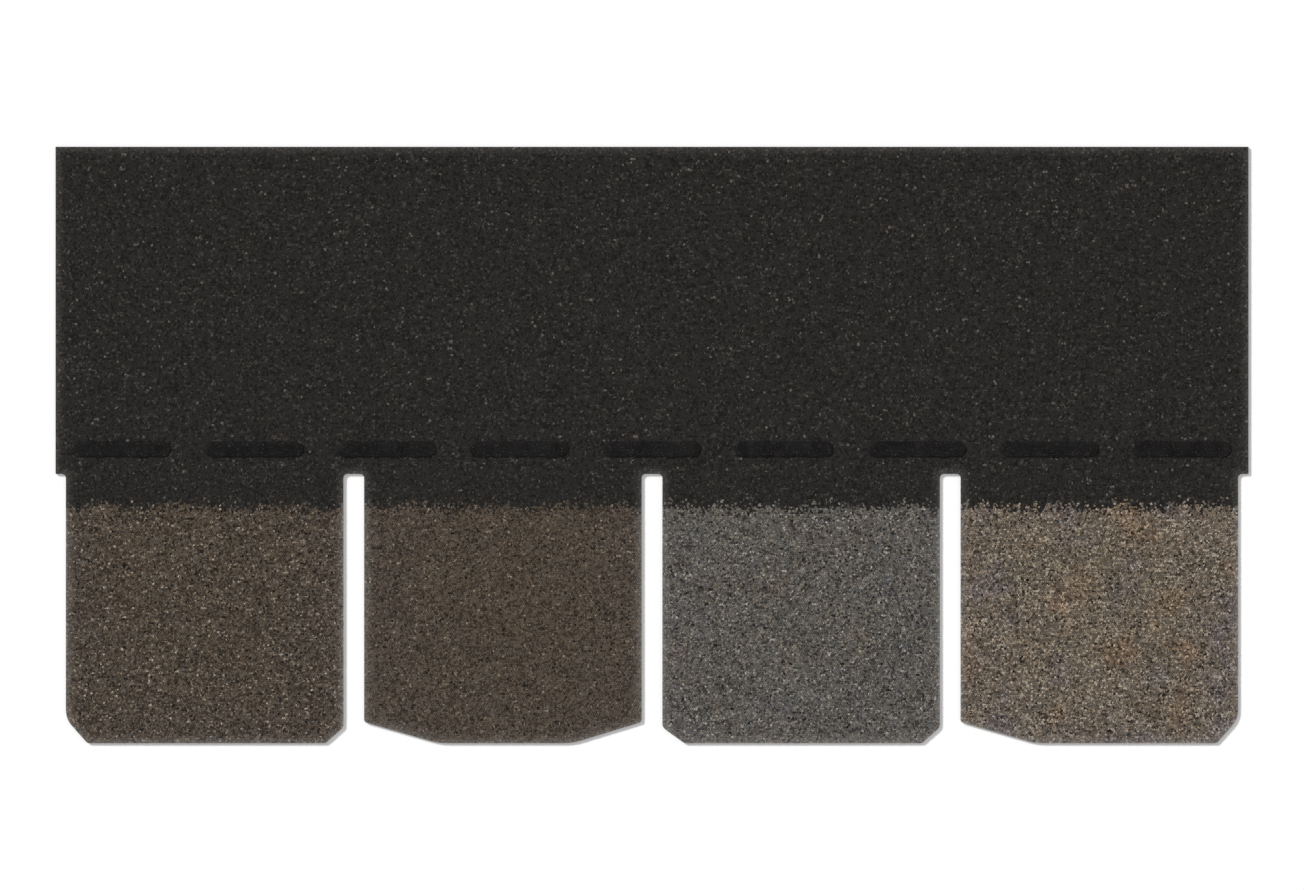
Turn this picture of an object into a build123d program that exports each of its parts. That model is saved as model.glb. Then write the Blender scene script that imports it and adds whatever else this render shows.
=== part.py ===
from build123d import *
import os

os.makedirs("parts", exist_ok=True)

# One strip of a slate-style asphalt shingle, lying with its weather side up.
# +X runs along the eaves, +Y points up the slope and +Z out of the roof.
# The origin lies on the back, under the middle of the strip's length and height.

# Whole strip: 36 in along the eaves, 18 in up the slope and 1/8 in thick
strip_length = 914.4
strip_height = 457.2
shingle_thickness = 3.175

# Tabs, with a slot between neighbours and half a slot at each end of the strip
tab_count = 4
slot_width = 15.875
slot_depth = 206.4
slot_corner_radius = 3.0

# Slanted cuts across the lower corners of the tabs, so that no two tabs are alike.
# Each cut has a width along the tip, a height up the side edge and two radii, which
# ease it into the side edge and into the tip.
end_cut_width = 16.5
end_cut_height = 18.5
end_cut_side_radius = 18.0
short_cut_width = 13.8
short_cut_height = 12.2
short_cut_side_radius = 5.0
middle_cut_width = 17.0
short_cut_tip_radius = 3.0
long_cut_width = 57.2
long_cut_height = 16.2
inner_long_cut_width = 53.0
long_cut_side_radius = 2.5
long_cut_tip_radius = 45.0

# Self-seal adhesive: one line of flat dashes on the headlap, just above the slots
dash_count = 9
dash_gap = 25.4
dash_width = 12.7
dash_height = 0.8
dash_edge_radius = 0.6

# Release film: a thin tape pressed flush into the back, behind the adhesive line
film_width = 31.75
film_thickness = 0.12
film_to_slots = 3.0

# Positions worked out from the sizes above
tab_pitch = strip_length / tab_count
tab_width = tab_pitch - slot_width
tip_y = -strip_height / 2
slot_top_y = tip_y + slot_depth
lap_height = strip_height - slot_depth
inside_lap_ends_x = strip_length / 2 - slot_width / 4
seal_line_y = slot_top_y + film_to_slots + film_width / 2
dash_pitch = strip_length / dash_count
dash_length = dash_pitch - dash_gap

# The cuts as (width, height, side radius, tip radius), and the pair on each tab
end_cut = (end_cut_width, end_cut_height, end_cut_side_radius, short_cut_tip_radius)
short_cut = (short_cut_width, short_cut_height, short_cut_side_radius, short_cut_tip_radius)
middle_cut = (middle_cut_width, short_cut_height, short_cut_side_radius, short_cut_tip_radius)
long_cut = (long_cut_width, long_cut_height, long_cut_side_radius, long_cut_tip_radius)
inner_long_cut = (inner_long_cut_width, long_cut_height, long_cut_side_radius, long_cut_tip_radius)
tab_cuts = [
    (end_cut, short_cut),
    (long_cut, inner_long_cut),
    (middle_cut, short_cut),
    (long_cut, end_cut),
]

# Shingle: one mat, saturated, coated and surfaced, then cut out with a die
with BuildPart() as shingle:
    with BuildSketch() as outline:
        with Locations((0, slot_top_y + lap_height / 2)):
            Rectangle(strip_length, lap_height)
        # Each tab is drawn from its root down one side, along the tip and up again
        for number, (left_cut, right_cut) in enumerate(tab_cuts):
            left_width, left_height, left_side_radius, left_tip_radius = left_cut
            right_width, right_height, right_side_radius, right_tip_radius = right_cut
            centre_x = (number - (tab_count - 1) / 2) * tab_pitch
            left_x = centre_x - tab_width / 2
            right_x = centre_x + tab_width / 2
            with BuildLine():
                FilletPolyline(
                    (left_x, slot_top_y),
                    (left_x, tip_y + left_height),
                    (left_x + left_width, tip_y),
                    (right_x - right_width, tip_y),
                    (right_x, tip_y + right_height),
                    (right_x, slot_top_y),
                    radius=[left_side_radius, left_tip_radius, right_tip_radius, right_side_radius],
                )
                Line((right_x, slot_top_y), (left_x, slot_top_y))
            make_face()
        # The tops of the slots are rounded; the ends of the headlap stay square
        slot_corners = (
            outline.vertices()
            .filter_by_position(Axis.Y, slot_top_y - slot_corner_radius, slot_top_y + slot_corner_radius)
            .filter_by_position(Axis.X, -inside_lap_ends_x, inside_lap_ends_x)
        )
        fillet(slot_corners, slot_corner_radius)
    extrude(amount=shingle_thickness)
    # Shallow bed that the film is pressed into, open at both ends of the strip
    with BuildSketch():
        with Locations((0, seal_line_y)):
            Rectangle(strip_length, film_width)
    extrude(amount=film_thickness, mode=Mode.SUBTRACT)
shingle.part.label = "shingle"
export_step(shingle.part, "parts/shingle.step")

# Self-seal adhesive: dashes with rounded ends and edges, laid hot on the face
with BuildPart() as self_seal_adhesive:
    with BuildSketch(Plane.XY.offset(shingle_thickness)):
        with Locations((0, seal_line_y)):
            with GridLocations(dash_pitch, 0, dash_count, 1):
                SlotOverall(dash_length, dash_width)
    extrude(amount=dash_height)
    fillet(self_seal_adhesive.edges().group_by(Axis.Z)[-1], dash_edge_radius)
self_seal_adhesive.part.label = "self_seal_adhesive"
export_step(self_seal_adhesive.part, "parts/self_seal_adhesive.step")

# Release film: keeps the adhesive of the strip below from sticking in the bundle
with BuildPart() as release_film:
    with BuildSketch():
        with Locations((0, seal_line_y)):
            Rectangle(strip_length, film_width)
    extrude(amount=film_thickness)
release_film.part.label = "release_film"
export_step(release_film.part, "parts/release_film.step")
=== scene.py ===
import math

import bpy
import numpy as np
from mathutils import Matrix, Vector


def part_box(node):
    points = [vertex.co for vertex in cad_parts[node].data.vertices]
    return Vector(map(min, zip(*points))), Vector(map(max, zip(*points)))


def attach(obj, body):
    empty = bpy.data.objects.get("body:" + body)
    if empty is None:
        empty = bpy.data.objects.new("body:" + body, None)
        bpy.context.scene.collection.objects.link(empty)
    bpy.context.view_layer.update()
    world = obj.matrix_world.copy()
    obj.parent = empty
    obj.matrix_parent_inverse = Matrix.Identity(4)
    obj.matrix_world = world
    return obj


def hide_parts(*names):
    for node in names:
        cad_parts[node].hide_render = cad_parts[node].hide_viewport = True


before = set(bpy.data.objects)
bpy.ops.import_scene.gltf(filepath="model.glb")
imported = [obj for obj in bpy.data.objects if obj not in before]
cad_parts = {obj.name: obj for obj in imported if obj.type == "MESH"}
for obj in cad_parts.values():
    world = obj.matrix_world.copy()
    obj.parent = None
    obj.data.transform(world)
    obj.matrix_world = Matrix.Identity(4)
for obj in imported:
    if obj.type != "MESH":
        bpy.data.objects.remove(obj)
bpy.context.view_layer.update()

MM = 0.001

# Places taken from the frame, in millimetres
shingle_low, shingle_high = (np.array(corner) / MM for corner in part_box("shingle"))
dash_low, dash_high = (np.array(corner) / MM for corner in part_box("self_seal_adhesive"))
film_low, film_high = (np.array(corner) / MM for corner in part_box("release_film"))
LEFT_X, TIP_Y, BACK_Z = shingle_low
RIGHT_X, TOP_Y, FACE_Z = shingle_high
STRIP_LENGTH = RIGHT_X - LEFT_X

# The die's layout: tabs below the headlap, and a line of adhesive dashes on it
TAB_COUNT = 4
SLOT_WIDTH = 15.875
SLOT_DEPTH = 206.4
SLOT_CORNER_RADIUS = 3.0
TAB_PITCH = STRIP_LENGTH / TAB_COUNT
SLOT_TOP_Y = TIP_Y + SLOT_DEPTH
DASH_COUNT = 9
DASH_GAP = 25.4

# Granule surface: pitch of the granules, and the heights of its valleys and hidden rim
TAB_GRANULE = 1.65
LAP_GRANULE = 1.95
LAP_PIECES = 4
VALLEY_Z = 2.62
SKIRT_Z = 2.35
SEAM_LAP = 0.8

# How uneven the granules are, as shares of their pitch, and which corners the cut takes in
MIDDLE_JITTER = 0.38
CORNER_JITTER = 0.13
CUT_REACH = 1.1

# How far chips' tops lie below the face, and corners and the lowest tops above the valleys
TOP_DROP = 0.4
CORNER_RISE = 0.26
LEAST_RISE = 0.1

# The die presses the face down along its cut: how deep at the cut, and over what width
PRESSED_DEPTH = 0.42
PRESSED_WIDTH = 6.0

# The coloured blend covers the lower part of each tab, up to a ragged line
BLEND_HEIGHT = 181.0
RAGGED_SPREAD = 3.0

# How far dust with a painted edge highlight, and wear, reach in from the cut, and the sizes of patches
# of hue and of brightness
DUST_AND_HIGHLIGHT_REACH = 8.0
WEAR_REACH = 60.0
HUE_PATCH = 42.0
BRIGHTNESS_PATCH = 15.0

# Colours as they look in daylight, from 0 to 255
INK = (28, 27, 26)
CHARCOAL = (41, 40, 38)
ASH = (62, 59, 56)
DARK_BROWN = (61, 52, 44)
TAUPE = (84, 74, 64)
WARM_BROWN = (96, 84, 72)
SLATE_GREY = (95, 90, 84)
BLUE_GREY = (90, 91, 91)
GREEN_GREY = (93, 91, 82)
PALE_GREY = (124, 118, 110)
TAN = (122, 110, 97)
SAND = (141, 128, 113)
CREAM = (167, 155, 141)
CHALK = (160, 157, 151)
# Pale dust of crushed granules, also used as a painted highlight on the cut edges
DUST_AND_EDGE_HIGHLIGHT = (138, 134, 129)
CUT_ASPHALT = (22, 21, 21)
CUT_WORN = (40, 38, 37)
CUT_FINES = (92, 87, 82)
BACK_ASPHALT = (34, 33, 33)
BACK_SAND = (58, 56, 54)
BACK_PALE_SAND = (108, 104, 98)
BEAD_BLACK = (13, 12, 12)
BEAD_BLOOM = (24, 23, 23)
BEAD_SPECK = (96, 91, 85)
FILM_DARK = (50, 51, 53)
FILM_PALE = (78, 79, 81)

# Share of each granule colour in the blend of each tab, and in the headlap
TAUPE_BLEND = [
    (INK, 5),
    (DARK_BROWN, 31),
    (TAUPE, 37),
    (WARM_BROWN, 13),
    (SLATE_GREY, 6),
    (TAN, 5),
    (SAND, 2),
    (CREAM, 1),
]
BROWN_BLEND = [
    (INK, 3),
    (DARK_BROWN, 30),
    (TAUPE, 45),
    (WARM_BROWN, 14),
    (SLATE_GREY, 5),
    (TAN, 2),
    (SAND, 1),
]
GREY_BLEND = [
    (INK, 2),
    (ASH, 22),
    (SLATE_GREY, 32),
    (BLUE_GREY, 15),
    (GREEN_GREY, 8),
    (PALE_GREY, 19),
    (CHALK, 2),
]
TAN_BLEND = [
    (INK, 2),
    (DARK_BROWN, 12),
    (WARM_BROWN, 25),
    (SLATE_GREY, 17),
    (TAN, 23),
    (SAND, 13),
    (CREAM, 8),
]
LAP_BLEND = [(INK, 24), (CHARCOAL, 66), (ASH, 9), (SLATE_GREY, 1)]

# The blend of each tab, and how strongly batches of another cast show in it
TAB_LOOKS = [(TAUPE_BLEND, 0.2), (BROWN_BLEND, 0.2), (GREY_BLEND, 0.35), (TAN_BLEND, 1.0)]


def linear(colour, alpha=1.0):
    """A 0 to 255 display colour as Blender's linear RGBA."""
    share = np.array(colour) / 255
    low = share / 12.92
    high = ((share + 0.055) / 1.055) ** 2.4
    return (*np.where(share <= 0.04045, low, high), alpha)


class Nodes:
    """The node tree of a material or world, with short ways to add and link nodes."""

    def __init__(self, owner):
        self.owner = owner
        owner.use_nodes = True
        self.tree = owner.node_tree
        self.tree.nodes.clear()

    def add(self, kind, **settings):
        node = self.tree.nodes.new(kind)
        for name, value in settings.items():
            setattr(node, name, value)
        return node

    def link(self, source, target):
        self.tree.links.new(source, target)

    def feed(self, target, value):
        if isinstance(value, bpy.types.NodeSocket):
            self.link(value, target)
        else:
            target.default_value = value

    def attribute(self, name):
        return self.add("ShaderNodeAttribute", attribute_name=name).outputs["Fac"]

    def math(self, operation, first, second=0.0):
        node = self.add("ShaderNodeMath", operation=operation)
        self.feed(node.inputs[0], first)
        self.feed(node.inputs[1], second)
        return node.outputs[0]

    def span(self, value, low, high, to_low=0.0, to_high=1.0):
        node = self.add("ShaderNodeMapRange", clamp=True)
        self.feed(node.inputs["Value"], value)
        node.inputs["From Min"].default_value = low
        node.inputs["From Max"].default_value = high
        node.inputs["To Min"].default_value = to_low
        node.inputs["To Max"].default_value = to_high
        return node.outputs["Result"]

    def mix(self, share, first, second, way="MIX"):
        node = self.add("ShaderNodeMix", data_type="RGBA", blend_type=way)
        self.feed(node.inputs[0], share)
        self.feed(node.inputs[6], first)
        self.feed(node.inputs[7], second)
        return node.outputs[2]

    def shade(self, colour, amount):
        """The colour made lighter or darker by an amount that varies over the surface."""
        grey = self.add("ShaderNodeCombineColor")
        for channel in grey.inputs:
            self.link(amount, channel)
        return self.mix(1.0, colour, grey.outputs[0], "MULTIPLY")

    def place(self, stretch=(1, 1, 1)):
        """Places in the strip's own frame, drawn out along an axis where stretch is over 1."""
        mapping = self.add("ShaderNodeMapping")
        self.link(self.add("ShaderNodeTexCoord").outputs["Object"], mapping.inputs["Vector"])
        mapping.inputs["Scale"].default_value = [1 / s for s in stretch]
        return mapping.outputs["Vector"]

    def noise(self, size_mm, detail=3.0, stretch=(1, 1, 1)):
        node = self.add("ShaderNodeTexNoise")
        self.link(self.place(stretch), node.inputs["Vector"])
        node.inputs["Scale"].default_value = 1 / (size_mm * MM)
        node.inputs["Detail"].default_value = detail
        return node.outputs["Fac"]

    def ramp(self, value, stops, way="LINEAR"):
        node = self.add("ShaderNodeValToRGB")
        node.color_ramp.interpolation = way
        elements = node.color_ramp.elements
        while len(elements) < len(stops):
            elements.new(1.0)
        for element, (position, colour) in zip(elements, stops):
            element.position = position
            element.color = colour
        self.feed(node.inputs["Fac"], value)
        return node.outputs["Color"]

    def bump(self, height, depth_mm, strength=1.0):
        node = self.add("ShaderNodeBump")
        node.inputs["Distance"].default_value = depth_mm * MM
        node.inputs["Strength"].default_value = strength
        self.link(height, node.inputs["Height"])
        return node.outputs["Normal"]

    def finish(self, colour, roughness, normal, **settings):
        shader = self.add("ShaderNodeBsdfPrincipled")
        output = self.add("ShaderNodeOutputMaterial")
        self.feed(shader.inputs["Base Color"], colour)
        self.feed(shader.inputs["Roughness"], roughness)
        self.link(normal, shader.inputs["Normal"])
        for name, value in settings.items():
            shader.inputs[name.replace("_", " ")].default_value = value
        self.link(shader.outputs[0], output.inputs["Surface"])
        return self.owner


def blend_stops(blend):
    """A blend's colours as steps of a ramp, as wide as their shares."""
    total = sum(share for _, share in blend)
    stops = []
    position = 0.0
    for colour, share in blend:
        stops.append((position, linear(colour)))
        position += share / total
    return stops


def granule_material(name, blend, patchiness):
    """Crushed, colour-coated granules in black asphalt, dark above the blend's line."""
    nodes = Nodes(bpy.data.materials.new(name))
    grain = nodes.attribute("grain")
    edge = nodes.attribute("edge")
    colour = nodes.ramp(grain, blend_stops(blend), "CONSTANT")
    # Soft patches where one batch of granules outweighs the others, or lies closer
    patches = nodes.ramp(
        nodes.noise(HUE_PATCH, detail=2.0),
        [
            (0.32, (0.89, 0.91, 1.05, 1)),
            (0.43, (0.99, 1.0, 1.0, 1)),
            (0.52, (1.0, 1.01, 0.98, 1)),
            (0.58, (1.02, 1.0, 0.97, 1)),
            (0.69, (1.12, 1.0, 0.90, 1)),
        ],
    )
    colour = nodes.mix(1.0, colour, nodes.mix(patchiness, (1, 1, 1, 1), patches), "MULTIPLY")
    colour = nodes.shade(colour, nodes.span(nodes.noise(BRIGHTNESS_PATCH), 0.3, 0.7, 0.92, 1.08))
    # Worn to grey towards the cut edges, browner in the middle
    inward = nodes.span(edge, 0, WEAR_REACH)
    wear = nodes.ramp(inward, [(0.0, (1.01, 1.01, 1.05, 1)), (1.0, (1.0, 1.0, 0.985, 1))])
    colour = nodes.mix(1.0, colour, wear, "MULTIPLY")
    # Black granules of the headlap, with a cold or a warm cast in places
    dark = nodes.ramp(grain, blend_stops(LAP_BLEND), "CONSTANT")
    batches = nodes.noise(16, detail=2.0)
    cast = nodes.ramp(batches, [(0.36, (0.97, 0.98, 1.02, 1)), (0.64, (1.03, 1.0, 0.97, 1))])
    dark = nodes.mix(1.0, dark, cast, "MULTIPLY")
    in_lap = nodes.attribute("lap")
    colour = nodes.mix(in_lap, colour, dark)
    # Pale dust of granules that the die crushed along the cut, which is also a painted highlight: the
    # cut edges made lighter as if they caught the light
    facet = nodes.attribute("facet")
    dust_and_highlight = nodes.math("POWER", nodes.span(edge, 0.5, DUST_AND_HIGHLIGHT_REACH, 1, 0), 1.4)
    dust_and_highlight = nodes.math("MULTIPLY", dust_and_highlight, nodes.span(facet, 0, 1, 0.15, 0.5))
    dust_and_highlight = nodes.math("MULTIPLY", dust_and_highlight, nodes.span(in_lap, 0, 1, 1, 0.4))
    colour = nodes.mix(dust_and_highlight, colour, linear(DUST_AND_EDGE_HIGHLIGHT))
    # Painted shade: every facet made a little lighter or darker at random, as if each met the light at
    # its own tilt
    colour = nodes.shade(colour, nodes.span(facet, 0, 1, 0.87, 1.13))
    # Asphalt shows in the gaps between the granules
    bedded = nodes.span(nodes.attribute("height"), 0.02, 0.26)
    colour = nodes.mix(bedded, linear(INK), colour)
    roughness = nodes.span(nodes.attribute("sparkle"), 0, 1, 0.9, 0.35)
    relief = nodes.bump(nodes.noise(0.35, detail=2.0), 0.05, 0.8)
    return nodes.finish(colour, roughness, relief, Specular_IOR_Level=0.08)


def mat_material():
    """Asphalt with mineral fines: dull black on the cut sides, sanded on the back."""
    nodes = Nodes(bpy.data.materials.new("asphalt_mat"))
    fines = nodes.noise(0.9, detail=4.0)
    cut = nodes.ramp(
        fines,
        [(0.38, linear(CUT_ASPHALT)), (0.6, linear(CUT_WORN)), (0.75, linear(CUT_FINES))],
    )
    sand = nodes.ramp(
        fines,
        [(0.36, linear(BACK_ASPHALT)), (0.55, linear(BACK_SAND)), (0.7, linear(BACK_PALE_SAND))],
    )
    sand = nodes.shade(sand, nodes.span(nodes.noise(30, detail=4.0), 0.3, 0.7, 0.75, 1.2))
    height = nodes.add("ShaderNodeSeparateXYZ")
    nodes.link(nodes.place(), height.inputs[0])
    above_back = nodes.span(height.outputs["Z"], 0.05 * MM, 0.1 * MM)
    colour = nodes.mix(above_back, sand, cut)
    roughness = nodes.span(nodes.noise(5), 0.3, 0.7, 0.65, 0.92)
    return nodes.finish(colour, roughness, nodes.bump(fines, 0.12, 0.8), Specular_IOR_Level=0.2)


def adhesive_material():
    """Smooth black asphalt, with a dull bloom and a few grains of dust."""
    nodes = Nodes(bpy.data.materials.new("self_seal_asphalt"))
    bloom = nodes.noise(9, detail=3.0)
    colour = nodes.ramp(bloom, [(0.35, linear(BEAD_BLACK)), (0.65, linear(BEAD_BLOOM))])
    specks = nodes.span(nodes.noise(0.7, detail=1.0), 0.68, 0.74)
    colour = nodes.mix(specks, colour, linear(BEAD_SPECK))
    roughness = nodes.span(nodes.noise(6, detail=4.0), 0.3, 0.7, 0.42, 0.7)
    relief = nodes.bump(nodes.noise(2.6, detail=3.0, stretch=(1.6, 1, 1)), 0.3, 0.8)
    return nodes.finish(colour, roughness, relief, Specular_IOR_Level=0.06)


def film_material():
    """Clear glossy tape over the dark back, with faint wrinkles along it."""
    nodes = Nodes(bpy.data.materials.new("release_tape"))
    streaks = nodes.noise(2.4, detail=3.0, stretch=(14, 1, 1))
    colour = nodes.ramp(streaks, [(0.35, linear(FILM_DARK)), (0.65, linear(FILM_PALE))])
    roughness = nodes.span(nodes.noise(12, detail=3.0), 0.3, 0.7, 0.12, 0.3)
    return nodes.finish(colour, roughness, nodes.bump(streaks, 0.05, 0.5), Specular_IOR_Level=0.5)


def outline_loop():
    """The shingle's outline from above, as an ordered loop of corners in millimetres."""
    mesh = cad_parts["shingle"].data
    places = np.empty(len(mesh.vertices) * 3)
    mesh.vertices.foreach_get("co", places)
    places = (places.reshape(-1, 3) / MM).round(4)
    used = set()
    for polygon in mesh.polygons:
        corners = [tuple(places[v]) for v in polygon.vertices]
        if all(abs(z - FACE_Z) < 0.001 for _, _, z in corners):
            flat = [corner[:2] for corner in corners]
            used.update(zip(flat, flat[1:] + flat[:1]))
    border = {first: second for first, second in used if (second, first) not in used}
    loop = [min(border)]
    while border[loop[-1]] != loop[0]:
        loop.append(border[loop[-1]])
    return np.array(loop)


outline = outline_loop()


def inside(points):
    """Whether each point lies inside the outline, by counting crossings."""
    x, y = points[:, :1], points[:, 1:]
    x1, y1 = outline.T
    x2, y2 = np.roll(outline, -1, axis=0).T
    spans = (y1 > y) != (y2 > y)
    with np.errstate(divide="ignore", invalid="ignore"):
        cross_x = x1 + (y - y1) / (y2 - y1) * (x2 - x1)
    return (spans & (x < cross_x)).sum(axis=1) % 2 == 1


def nearest_on_outline(points, chunk=4000):
    """The nearest place on the outline to each point, and how far off it is."""
    along = np.roll(outline, -1, axis=0) - outline
    places, gaps = [], []
    for part in np.array_split(points, len(points) // chunk + 1):
        share = ((part[:, None] - outline) * along).sum(2) / (along**2).sum(1)
        near = outline + share.clip(0, 1)[..., None] * along
        gap = np.linalg.norm(part[:, None] - near, axis=2)
        rows, best = np.arange(len(part)), gap.argmin(axis=1)
        places.append(near[rows, best])
        gaps.append(gap[rows, best])
    return np.concatenate(places), np.concatenate(gaps)


def waves(places, size, seed):
    """Smooth random values from -1 to 1 along a line, with waves about size long."""
    random = np.random.default_rng(seed)
    parts = 16
    total = np.zeros(len(places))
    for _ in range(parts):
        turn = 2 * math.pi * random.uniform(0.5, 1.6) / size
        total += np.sin(places * turn + random.uniform(0, 2 * math.pi))
    return np.tanh(total / math.sqrt(parts))


def mesh_from(name, vertices, groups):
    """A mesh from places in millimetres and groups of faces with as many corners each."""
    corners = np.concatenate([group.ravel() for group in groups])
    sizes = np.concatenate([np.full(len(group), group.shape[1]) for group in groups])
    mesh = bpy.data.meshes.new(name)
    mesh.vertices.add(len(vertices))
    mesh.vertices.foreach_set("co", (vertices * MM).ravel())
    mesh.loops.add(len(corners))
    mesh.loops.foreach_set("vertex_index", corners.astype(np.int32))
    mesh.polygons.add(len(sizes))
    mesh.polygons.foreach_set("loop_start", (np.cumsum(sizes) - sizes).astype(np.int32))
    mesh.update(calc_edges=True)
    return mesh


def add_bake_map(mesh, places):
    """A UV map from a place for each corner of each face, each in a unit square."""
    layer = mesh.uv_layers.new(name="OFBake", do_init=False)
    layer.uv.foreach_set("vector", places.astype(np.float32).ravel())


def add_attribute(mesh, name, domain, values):
    """A number for each face or point of a mesh; those that come after the values get 0."""
    padded = np.zeros(len(mesh.polygons if domain == "FACE" else mesh.vertices), np.float32)
    padded[: len(values)] = values
    mesh.attributes.new(name, "FLOAT", domain).data.foreach_set("value", padded)


def ring_faces(ring_count, around, base=0):
    """Faces between rings of points that lie one above the other."""
    here = np.arange(around * (ring_count - 1))
    ahead = here - here % around + (here + 1) % around
    return base + np.stack([here, ahead, ahead + around, here + around], axis=1)


def add_piece(name, mesh, material, replaced):
    """Put a finished mesh into the scene in place of a node; the strip is one body."""
    mesh.materials.append(material)
    piece = bpy.data.objects.new(name, mesh)
    bpy.context.scene.collection.objects.link(piece)
    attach(piece, "root")
    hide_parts(replaced)


class Lattice:
    """A jittered honeycomb of granules: their middles, and the corners they share."""

    # Rows and columns at the rim that are there only for their neighbours' corners
    spare = 2

    def __init__(self, low, high, pitch, seed):
        random = np.random.default_rng(seed)
        rise = pitch * math.sqrt(3) / 2
        self.pitch = pitch
        self.columns = int((high[0] - low[0]) / pitch) + 2 * self.spare + 2
        self.rows = int((high[1] - low[1]) / rise) + 2 * self.spare + 2
        row, column = np.mgrid[: self.rows, : self.columns]
        x = low[0] + (column - self.spare - 0.5 + 0.5 * (row % 2)) * pitch
        y = low[1] + (row - self.spare - 0.5) * rise
        turn = random.uniform(0, 2 * math.pi, x.shape)
        reach = MIDDLE_JITTER * pitch * np.sqrt(random.uniform(0, 1, x.shape))
        self.middles = np.stack([x + reach * np.cos(turn), y + reach * np.sin(turn)], axis=-1)
        odd = (row % 2 == 1)[..., None]
        east = np.roll(self.middles, -1, axis=1)
        above = np.roll(self.middles, -1, axis=0)
        below = np.roll(self.middles, 1, axis=0)
        north_east = np.where(odd, np.roll(above, -1, axis=1), above)
        south_east = np.where(odd, np.roll(below, -1, axis=1), below)
        corners = np.stack([self.middles + east + north_east, self.middles + east + south_east]) / 3
        corners += random.uniform(-CORNER_JITTER, CORNER_JITTER, corners.shape) * pitch
        self.corners = corners.reshape(-1, 2)
        self.corner_lift = random.uniform(0, 1, len(self.corners))

    def cell_corners(self, row, column):
        """The six corners of each cell, anticlockwise, as rows of self.corners."""
        size = self.rows * self.columns
        here = row * self.columns + column
        west = here - 1
        west_above = west + self.columns + row % 2
        west_below = west - self.columns + row % 2
        return np.stack([here + size, here, west_above + size, west, west + size, west_below], axis=1)

    def take(self, belongs):
        """The cells whose middles belong, as rows of the corners they use, and those corners."""
        inner = np.mgrid[self.spare : self.rows - self.spare, self.spare : self.columns - self.spare]
        row, column = inner.reshape(2, -1)
        held = belongs(self.middles[row, column])
        used, cells = np.unique(self.cell_corners(row[held], column[held]), return_inverse=True)
        return cells.reshape(-1, 6), self.corners[used], self.corner_lift[used]


def border_of(cells, corner_count):
    """The sides that only one cell has, as the corners they start and end at."""
    first, second = cells.ravel(), np.roll(cells, -1, axis=1).ravel()
    alone = ~np.isin(first * corner_count + second, second * corner_count + first)
    return first[alone], second[alone]


def loops_of(first, second):
    """Border sides joined end to end into closed loops of corners."""
    follows = dict(zip(first.tolist(), second.tolist()))
    loops = []
    while follows:
        loop = list(follows.popitem())
        while loop[-1] != loop[0]:
            loop.append(follows.pop(loop[-1]))
        loops.append(np.array(loop[:-1]))
    return loops


def put_in_order(corners, loops, on_cut):
    """Corners that passed a neighbour on their way to the cut change places with it."""
    reach = 3
    passes = 3
    for loop in loops * passes:
        onward = corners[np.roll(loop, -reach)] - corners[np.roll(loop, reach)]
        for here, ahead, way in zip(loop, np.roll(loop, -1), onward):
            passed = (corners[ahead] - corners[here]) @ way < 0
            if passed and on_cut[here] and on_cut[ahead]:
                corners[[here, ahead]] = corners[[ahead, here]]


def in_headlap(places, random):
    """1 where a granule is one of the dark ones, which begin at a ragged, mixed line."""
    ragged = 2.0 * waves(places[:, 0], size=60, seed=71) + waves(places[:, 0], size=14, seed=72)
    ragged += random.normal(0, RAGGED_SPREAD, len(places))
    return (places[:, 1] - TIP_Y + ragged > BLEND_HEIGHT).astype(float)


def granule_colours(tops, edge_gap, cut_places, random):
    """What the material reads for the six facets of each granule, and for each cut side."""
    merged_share = 0.12
    split_share = 0.6
    # Cut sides are as dusty, and carry as much painted edge highlight, as a granule this far in from
    # the cut
    cut_side_gap = 1.2
    count, cut_count = len(tops), len(cut_places)
    # Some granules reach into the next cell, and most leave half of their own to another
    grain = random.uniform(0, 1, count)
    merged = np.flatnonzero(random.uniform(0, 1, count - 1) < merged_share) + 1
    grain[merged] = grain[merged - 1]
    grain = np.repeat(grain[:, None], 6, axis=1)
    split = np.flatnonzero(random.uniform(0, 1, count) < split_share)
    start = random.integers(0, 6, len(split))
    other = random.uniform(0, 1, len(split))
    for step in range(3):
        grain[split, (start + step) % 6] = other
    sparkle = np.repeat(random.uniform(0, 1, count) ** 8, 6)
    return {
        "grain": np.concatenate([grain.ravel(), random.uniform(0, 1, cut_count)]),
        "facet": random.uniform(0, 1, 6 * count + cut_count),
        "sparkle": np.concatenate([sparkle, np.zeros(cut_count)]),
        "lap": np.concatenate([np.repeat(in_headlap(tops, random), 6), in_headlap(cut_places, random)]),
        "edge": np.concatenate([np.repeat(edge_gap, 6), np.full(cut_count, cut_side_gap)]),
    }


def lay_on_cut(corners, side_start, loops, pitch):
    """Corners near the die's cut, or past it, moved onto it. Gives back which they are."""
    past = np.flatnonzero(~inside(corners))
    loose = np.union1d(side_start, past)
    places, gaps = nearest_on_outline(corners[loose])
    moved = (gaps < CUT_REACH * pitch) | np.isin(loose, past)
    at_edge = loose[moved]
    corners[at_edge] = places[moved]
    put_in_order(corners, loops, np.isin(np.arange(len(corners)), at_edge))
    return at_edge


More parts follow.
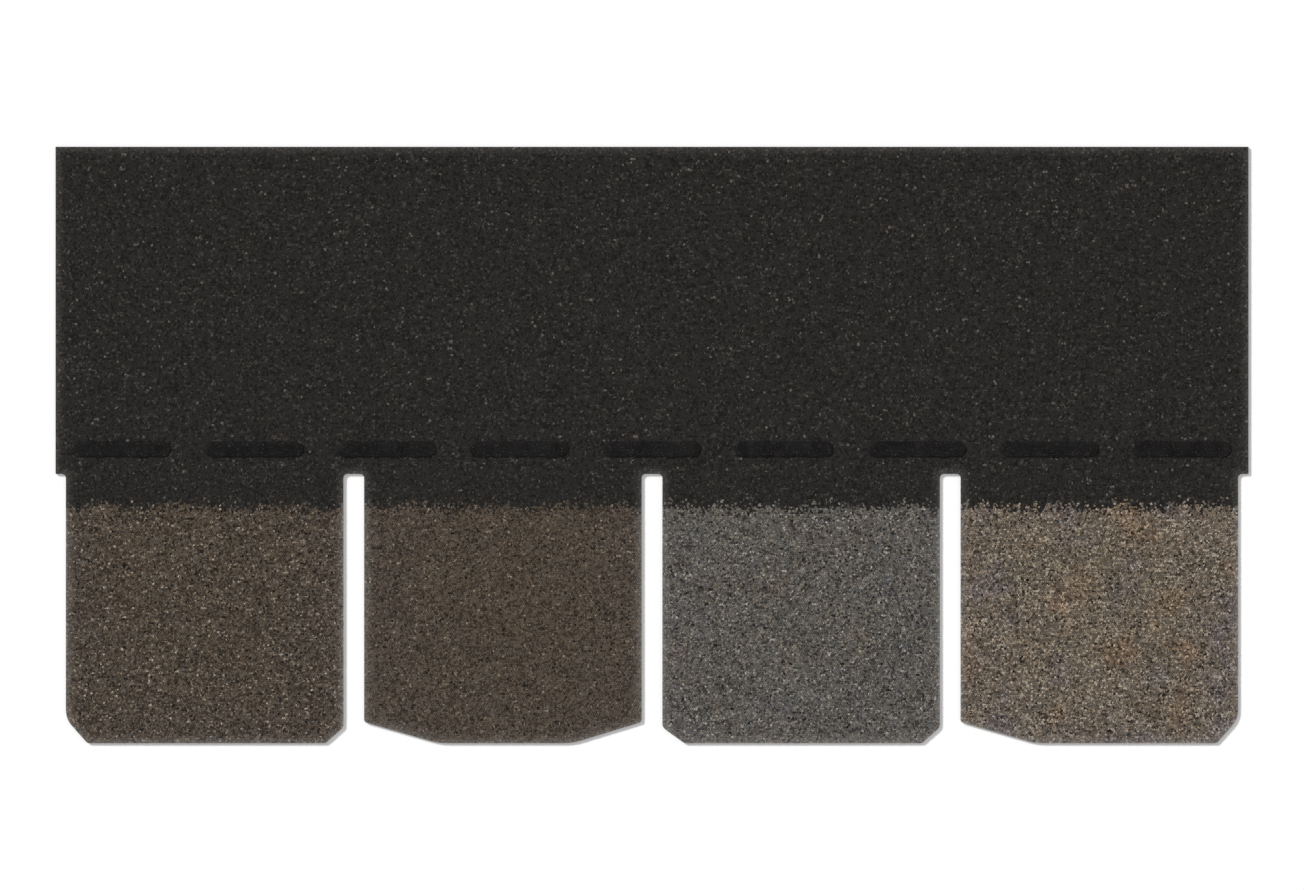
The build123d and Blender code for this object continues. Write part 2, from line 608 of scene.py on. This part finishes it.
def chip_tops(corners, cells, random):
    """The place and height of each chip's top, and how far it lies from the cut."""
    # A top lies anywhere over its cell, as on a broken stone, but inside the cut
    evenness = 0.6
    shares = random.dirichlet(np.full(6, evenness), len(cells))
    tops = (corners[cells] * shares[..., None]).sum(axis=1)
    tops = np.where(inside(tops)[:, None], tops, corners[cells].mean(axis=1))
    edge_gap = nearest_on_outline(tops)[1]
    # The die presses the face down a little along its cut
    pressed = PRESSED_DEPTH * (1 - edge_gap / PRESSED_WIDTH).clip(0) ** 1.5
    top_z = FACE_Z - pressed - TOP_DROP * random.uniform(0, 1, len(cells)) ** 1.5
    return tops, top_z.clip(VALLEY_Z + LEAST_RISE), edge_gap


def map_from_above(vertices, skirt_points, upper_corners, floor_corners):
    """A flat map of a piece: the skirt is spread outwards, the floor lies small in a corner."""
    skirt_spread = 0.6
    flat = vertices[:, :2].copy()
    outward = flat[skirt_points] - (flat.min(0) + flat.max(0)) / 2
    flat[skirt_points] += skirt_spread * outward / np.linalg.norm(outward, axis=1)[:, None]
    unit = (flat - flat.min(0)) / np.ptp(flat, axis=0).max()
    return np.concatenate([0.01 + 0.98 * unit[upper_corners], 0.008 * unit[floor_corners]])


def make_granules(name, lattice, belongs, material, seed):
    """One piece of the granule surface: a faceted chip on each cell, closed underneath."""
    random = np.random.default_rng(seed)
    cells, corners, lift = lattice.take(belongs)
    side_start, side_end = border_of(cells, len(corners))
    loops = loops_of(side_start, side_end)
    at_edge = lay_on_cut(corners, side_start, loops, lattice.pitch)
    tops, top_z, edge_gap = chip_tops(corners, cells, random)
    # Valleys between the chips, but the die cuts through granules, which stand higher there
    corner_z = VALLEY_Z + CORNER_RISE * lift**1.5
    corner_z[at_edge] = VALLEY_Z + CORNER_RISE * lift[at_edge]

    # A skirt round the border goes down into the mat, and a floor closes it there
    skirt_points = len(corners) + len(tops) + np.arange(len(side_start))
    below = np.zeros(len(corners), int)
    below[side_start] = skirt_points
    vertices = np.concatenate(
        [
            np.column_stack([corners, corner_z]),
            np.column_stack([tops, top_z]),
            np.column_stack([corners[side_start], np.full(len(side_start), SKIRT_Z)]),
        ]
    )
    top_row = np.repeat(len(corners) + np.arange(len(tops)), 6)
    chips = np.stack([top_row, cells.ravel(), np.roll(cells, -1, axis=1).ravel()], axis=1)
    skirt = np.stack([side_end, side_start, below[side_start], below[side_end]], axis=1)
    floors = [below[loop[::-1]][None] for loop in loops]
    mesh = mesh_from(name, vertices, [chips, skirt, *floors])
    mesh.shade_flat()

    for label, values in granule_colours(tops, edge_gap, corners[side_start], random).items():
        add_attribute(mesh, label, "FACE", values)
    # How far each point stands out of the asphalt: 1 at a chip's top, 0 at the skirt's foot
    highest_corner = 0.28
    cut_corner = 0.6
    height = np.concatenate([highest_corner * lift**2, np.ones(len(tops))])
    height[at_edge] = cut_corner
    add_attribute(mesh, "height", "POINT", height)
    upper_corners = np.concatenate([chips.ravel(), skirt.ravel()])
    floor_corners = np.concatenate([floor.ravel() for floor in floors])
    add_bake_map(mesh, map_from_above(vertices, skirt_points, upper_corners, floor_corners))
    add_piece(name, mesh, material, "shingle")


def make_granule_surface():
    """Four tabs and the headlap, each from its own part of a lattice."""
    tab_lattice = Lattice((LEFT_X, TIP_Y), (RIGHT_X, SLOT_TOP_Y + SEAM_LAP), TAB_GRANULE, seed=11)
    lap_lattice = Lattice((LEFT_X, SLOT_TOP_Y - SEAM_LAP), (RIGHT_X, TOP_Y), LAP_GRANULE, seed=12)

    def within(low, high):
        def belongs(points):
            chosen = ((points >= low) & (points < high)).all(axis=1)
            chosen[chosen] = inside(points[chosen])
            return chosen

        return belongs

    # A tab's root is wider by what the rounded corners of the slots leave standing
    reach = (TAB_PITCH - SLOT_WIDTH + SLOT_CORNER_RADIUS) / 2
    for number, (blend, patchiness) in enumerate(TAB_LOOKS):
        centre_x = LEFT_X + (number + 0.5) * TAB_PITCH
        belongs = within((centre_x - reach, TIP_Y), (centre_x + reach, SLOT_TOP_Y + SEAM_LAP))
        material = granule_material(f"granules_tab_{number + 1}", blend, patchiness)
        name = f"tab_{number + 1}_granules"
        make_granules(name, tab_lattice, belongs, material, seed=21 + number)

    lap_material = granule_material("granules_headlap", LAP_BLEND, 0.0)
    piece_length = STRIP_LENGTH / LAP_PIECES
    for number in range(LAP_PIECES):
        low_x = LEFT_X + number * piece_length
        belongs = within((low_x, SLOT_TOP_Y - SEAM_LAP), (low_x + piece_length, TOP_Y))
        name = f"headlap_{number + 1}_granules"
        make_granules(name, lap_lattice, belongs, lap_material, seed=31 + number)


def resample(loop, step):
    """The loop with points about step apart, its own corners kept."""
    points = []
    for start, end in zip(loop, np.roll(loop, -1, axis=0)):
        parts = max(1, round(np.linalg.norm(end - start) / step))
        points += [start + (end - start) * k / parts for k in range(parts)]
    return np.array(points)


def cut_at(loop, heights):
    """The loop with a point added wherever a side crosses one of the heights."""
    points = []
    for start, end in zip(loop, np.roll(loop, -1, axis=0)):
        points.append(start)
        if start[1] != end[1]:
            shares = sorted((height - start[1]) / (end[1] - start[1]) for height in heights)
            points += [start + (end - start) * share for share in shares if 0 < share < 1]
    return np.array(points)


def level_faces(loop, cuts):
    """Rows of corners that cover the loop, cut across at some heights; the lowest are the tabs."""
    slack = 1e-6
    faces = []
    for low, high in zip([-math.inf, *cuts], [*cuts, math.inf]):
        chosen = (loop[:, 1] >= low - slack) & (loop[:, 1] <= high + slack)
        rows = np.flatnonzero(chosen)
        if low == -math.inf:
            faces += np.split(rows, np.flatnonzero(np.diff(rows) > 1) + 1)
        else:
            faces.append(rows)
    return faces


def make_mat():
    """The asphalt mat under the granules, with cut sides and a bed for the film."""
    random = np.random.default_rng(5)
    side_step = 1.6
    bed_side = 0.02
    unevenness = 0.12
    bed = [film_low[1] - bed_side, film_low[1], film_high[1], film_high[1] + bed_side]
    root_y = SLOT_TOP_Y - 2 * SLOT_CORNER_RADIUS
    loop = resample(cut_at(outline, [root_y, *bed]), side_step)
    in_bed = (loop[:, 1] > film_low[1] - bed_side / 2) & (loop[:, 1] < film_high[1] + bed_side / 2)
    ahead = np.roll(loop, -1, axis=0) - np.roll(loop, 1, axis=0)
    ahead /= np.linalg.norm(ahead, axis=1)[:, None]
    inward = np.stack([-ahead[:, 1], ahead[:, 0]], axis=1)
    # Rings up the cut side: the height of each, and how far inside the die's line it lies
    levels = [BACK_Z, BACK_Z + 0.2, 0.9, 1.6, 2.2, VALLEY_Z - 0.1]
    insets = [0.12, 0.02, 0.1, 0.05, 0.08, 0.05]
    rings = []
    for level, inset in zip(levels, insets):
        wander = inset + unevenness * random.uniform(0, 1, len(loop))
        rings.append(np.column_stack([loop + inward * wander[:, None], np.full(len(loop), level)]))
    rings[0][in_bed, 2] = film_high[2]
    sides = ring_faces(len(levels), len(loop))
    back = [rows[::-1][None] for rows in level_faces(loop, [root_y, *bed])]
    face_base = len(loop) * (len(levels) - 1)
    face = [face_base + rows[None] for rows in level_faces(loop, [root_y])]
    mesh = mesh_from("asphalt_mat", np.concatenate(rings), [sides, *back, *face])
    mesh.shade_flat()
    add_piece("asphalt_mat", mesh, mat_material(), "shingle")


# Rings of a bead, from its foot in the granules up to its crest, as shares of width and height
BEAD_PROFILE = [
    (1.0, -0.45),
    (1.0, 0.0),
    (0.985, 0.34),
    (0.94, 0.6),
    (0.86, 0.78),
    (0.75, 0.89),
    (0.62, 0.95),
    (0.49, 0.98),
    (0.36, 1.0),
    (0.23, 1.0),
    (0.1, 1.0),
]


def bead_points(number, length, half_width):
    """Points of one bead about its middle, ring by ring, and their places in its map."""
    side_steps = 70
    end_steps = 22
    narrowing = 0.045
    mean_height = 0.85
    lump_height = 0.05
    foot_z = FACE_Z - 0.1
    # One round of the bead: along one side, round the end, back and round the other end
    straight = np.linspace(-1, 1, side_steps, endpoint=False)
    end = np.ones(end_steps)
    spine = np.concatenate([straight, end, -straight, -end]) * (length / 2 - half_width)
    bend = np.linspace(-90, 90, end_steps, endpoint=False)
    angle = np.concatenate([np.full(side_steps, -90), bend, np.full(side_steps, 90), bend + 180])
    angle = np.radians(angle)
    # It is narrower in places, but not where the round starts and ends
    walk = np.cumsum(np.hypot(*np.diff([spine, half_width * angle], axis=1, prepend=0)))
    fade = np.sin(np.linspace(0, math.pi, len(spine))) ** 0.2
    uneven = 1 - narrowing * (1 + waves(walk, size=14, seed=50 + number)) * fade
    points, maps = [], []
    for width, height in BEAD_PROFILE:
        radius = half_width * width * uneven
        x = spine + radius * np.cos(angle)
        y = radius * np.sin(angle)
        lumps = waves(x + 0.4 * y, size=13, seed=70 + number)
        lumps += waves(x - 1.3 * y, size=9, seed=80 + number)
        lumps += waves(x + 2.1 * y, size=7, seed=90)
        swell = mean_height + lump_height * lumps if height > 0 else np.ones(len(x))
        z = foot_z + (dash_high[2] - foot_z) * height * swell
        points.append(np.column_stack([x, y, z]))
        across = (number + 0.5 + y / half_width / 2.1) / DASH_COUNT
        maps.append(np.column_stack([x / length + 0.5, across]))
    return points, maps


def make_dashes():
    """Beads of hot-laid asphalt on the headlap, domed and a little uneven."""
    dash_pitch = (dash_high[0] - dash_low[0] + DASH_GAP) / DASH_COUNT
    dash_length = dash_pitch - DASH_GAP
    half_width = (dash_high[1] - dash_low[1]) / 2
    ring_count = len(BEAD_PROFILE)
    vertices, maps, groups = [], [], []
    for number in range(DASH_COUNT):
        points, places = bead_points(number, dash_length, half_width)
        centre_x = dash_low[0] + dash_length / 2 + number * dash_pitch
        centre_y = (dash_low[1] + dash_high[1]) / 2
        vertices += [ring + (centre_x, centre_y, 0) for ring in points]
        maps += places
        around = len(points[0])
        base = number * ring_count * around
        groups.append(ring_faces(ring_count, around, base))
        groups.append(base + around * (ring_count - 1) + np.arange(around)[None])
        groups.append(base + np.arange(around)[::-1][None])
    mesh = mesh_from("adhesive_dashes", np.concatenate(vertices), groups)
    mesh.shade_smooth()
    corners = np.concatenate([group.ravel() for group in groups])
    add_bake_map(mesh, 0.01 + 0.98 * np.concatenate(maps)[corners])
    add_piece("adhesive_dashes", mesh, adhesive_material(), "self_seal_adhesive")


make_granule_surface()
make_mat()
make_dashes()
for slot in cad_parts["release_film"].material_slots:
    slot.material = film_material()


def make_camera():
    """A long lens straight above the strip, with a narrow margin at its ends."""
    shown_width = 1.0
    data = bpy.data.cameras.new("camera")
    data.lens = 200
    data.sensor_width = 36
    data.clip_end = 200
    camera = bpy.data.objects.new("camera", data)
    bpy.context.scene.collection.objects.link(camera)
    camera.location = (0, 0, shown_width * data.lens / data.sensor_width)
    bpy.context.scene.camera = camera


def seen_ray(nodes):
    """1 for a ray that shows the background: from the camera, or off gloss or through glass."""
    path = nodes.add("ShaderNodeLightPath")
    seen = nodes.math("MAXIMUM", path.outputs["Is Camera Ray"], path.outputs["Is Glossy Ray"])
    return nodes.math("MAXIMUM", seen, path.outputs["Is Transmission Ray"])


def make_floor():
    """A wide pale floor just under the strip, which looks white and keeps the shadow."""
    reach = 40.0
    gap = 0.2 * MM
    glow_strength = 0.22
    mesh = bpy.data.meshes.new("floor")
    corners = [(-reach, -reach, 0), (reach, -reach, 0), (reach, reach, 0), (-reach, reach, 0)]
    mesh.from_pydata(corners, [], [(0, 1, 2, 3)])
    floor = bpy.data.objects.new("floor", mesh)
    bpy.context.scene.collection.objects.link(floor)
    floor.location.z = -gap
    nodes = Nodes(bpy.data.materials.new("floor"))
    matte = nodes.add("ShaderNodeBsdfDiffuse")
    matte.inputs["Color"].default_value = (0.8, 0.8, 0.8, 1)
    glow = nodes.add("ShaderNodeEmission")
    nodes.link(nodes.math("MULTIPLY", seen_ray(nodes), glow_strength), glow.inputs["Strength"])
    both = nodes.add("ShaderNodeAddShader")
    nodes.link(matte.outputs[0], both.inputs[0])
    nodes.link(glow.outputs[0], both.inputs[1])
    nodes.link(both.outputs[0], nodes.add("ShaderNodeOutputMaterial").inputs["Surface"])
    mesh.materials.append(nodes.owner)


def make_light():
    """A broad lamp from the upper left and an even sky."""
    towards_lamp = Vector((-0.62, 0.5, 0.72))
    sky_light = 0.4
    data = bpy.data.lights.new("key", "SUN")
    data.energy = 2.9
    data.angle = math.radians(12)
    key = bpy.data.objects.new("key", data)
    bpy.context.scene.collection.objects.link(key)
    key.rotation_euler = towards_lamp.to_track_quat("Z", "Y").to_euler()
    world = bpy.data.worlds.new("studio")
    bpy.context.scene.world = world
    nodes = Nodes(world)
    sky = nodes.add("ShaderNodeBackground")
    sky.inputs["Color"].default_value = (1, 1, 1, 1)
    nodes.link(nodes.span(seen_ray(nodes), 0, 1, sky_light, 1.0), sky.inputs["Strength"])
    nodes.link(sky.outputs[0], nodes.add("ShaderNodeOutputWorld").inputs["Surface"])


make_camera()
make_floor()
make_light()
bpy.context.scene.view_settings.view_transform = "Standard"
